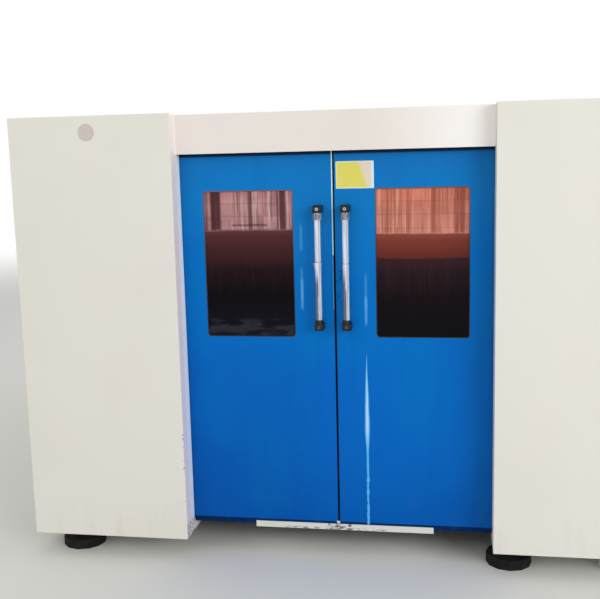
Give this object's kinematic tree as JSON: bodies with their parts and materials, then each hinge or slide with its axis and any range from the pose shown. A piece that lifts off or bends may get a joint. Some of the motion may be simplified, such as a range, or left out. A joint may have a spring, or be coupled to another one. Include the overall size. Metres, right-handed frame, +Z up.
{
  "type": "fiber laser cutting machine",
  "caption": "Fully enclosed fiber laser cutting machine with sliding front doors, filter windows, gantry, slat pallet, rear gate and corner cabinets.",
  "frame": {"origin": "on the floor under the middle of the machine's box", "axes": "+X to the right seen by the operator, +Y from the operator's doors to the rear gate, +Z up"},
  "size_m": [2.85, 4.8, 2.02],
  "materials": {
    "cover_white": "cream-white powder coat, satin",
    "header_cream": "slightly pinkish cream powder coat, satin",
    "door_blue": "glossy blue powder coat, scuffed",
    "filter_glass": "near-black laser filter pane with a red tint",
    "black_plastic": "moulded black plastic",
    "bright_tube": "bright steel tube under wrinkled film",
    "steel": "ground and plated steel",
    "frame_grey": "grey machine paint",
    "rubber": "black rubber",
    "slat_steel": "heat-stained, slag-spattered mild steel",
    "brass": "turned brass"
  },
  "bodies": {
    "enclosure": {"left_front_cover": "cover_white", "right_front_cover": "cover_white", "header_cover": "header_cream", "front_wall": "door_blue", "left_base_rail": "cover_white", "right_base_rail": "cover_white", "left_front_foot": "rubber", "right_front_foot": "rubber", "sill_guide": "cover_white", "track_beam": "steel", "door_rail": "steel", "left_side_panel_front": "cover_white", "left_side_panel_rear": "cover_white", "right_side_panel_front": "cover_white", "right_side_panel_rear": "cover_white", "roof_front": "cover_white", "roof_rear": "cover_white", "rear_wall": "cover_white", "left_gate_cylinder": "steel", "right_gate_cylinder": "steel", "electrical_cabinet": "cover_white", "drive_modules": "frame_grey", "laser_cabinet": "cover_white", "laser_source": "frame_grey", "dust_collar": "steel", "bed_frame": "frame_grey", "pallet_frame": "frame_grey", "slat_grid": "slat_steel", "slag_tray_front": "steel", "slag_tray_rear": "steel", "left_y_rail": "steel", "right_y_rail": "steel"},
    "left_door": {"left_door_panel": "door_blue", "left_door_window": "filter_glass", "left_door_window_frame": "black_plastic", "left_door_handle": "bright_tube", "left_door_handle_foot": "black_plastic", "left_door_handle_head": "black_plastic", "left_door_hanger": "steel"},
    "right_door": {"right_door_panel": "door_blue", "right_door_window": "filter_glass", "right_door_window_frame": "black_plastic", "right_door_handle": "bright_tube", "right_door_handle_foot": "black_plastic", "right_door_handle_head": "black_plastic", "right_door_hanger": "steel", "meeting_seal": "rubber"},
    "rear_gate": {"rear_gate": "cover_white"},
    "electrical_door": {"electrical_door": "cover_white"},
    "laser_door": {"laser_door": "cover_white"},
    "gantry": {"gantry_beam": "frame_grey", "left_y_drive": "black_plastic", "right_y_drive": "black_plastic", "x_rail_lower": "steel", "x_rail_upper": "steel"},
    "cross_carriage": {"x_carriage": "frame_grey", "z_housing": "black_plastic"},
    "laser_head": {"head_slide": "steel", "cutting_head": "steel", "nozzle": "brass"}
  },
  "joints": [
    {"name": "left_door_slide", "type": "slide", "parent": "enclosure", "child": "left_door", "axis": [-1, 0, 0], "range_m": [0, 0.57]},
    {"name": "right_door_slide", "type": "slide", "parent": "enclosure", "child": "right_door", "axis": [1, 0, 0], "range_m": [0, 0.57]},
    {"name": "rear_gate_lift", "type": "slide", "parent": "enclosure", "child": "rear_gate", "axis": [0, 0, 1], "range_m": [0, 0.5]},
    {"name": "electrical_door_hinge", "type": "hinge", "parent": "enclosure", "child": "electrical_door", "pos_m": [-1.425, 2.34, 1.04], "axis": [0, 0, 1], "range_deg": [0, 110]},
    {"name": "laser_door_hinge", "type": "hinge", "parent": "enclosure", "child": "laser_door", "pos_m": [1.425, 2.34, 1.04], "axis": [0, 0, -1], "range_deg": [0, 110]},
    {"name": "gantry_slide", "type": "slide", "parent": "enclosure", "child": "gantry", "axis": [0, 1, 0], "range_m": [-2.895, 0.105]},
    {"name": "carriage_slide", "type": "slide", "parent": "gantry", "child": "cross_carriage", "axis": [1, 0, 0], "range_m": [-0.75, 0.75]},
    {"name": "head_lift", "type": "slide", "parent": "cross_carriage", "child": "laser_head", "axis": [0, 0, 1], "range_m": [-0.1, 0]}
  ]
}
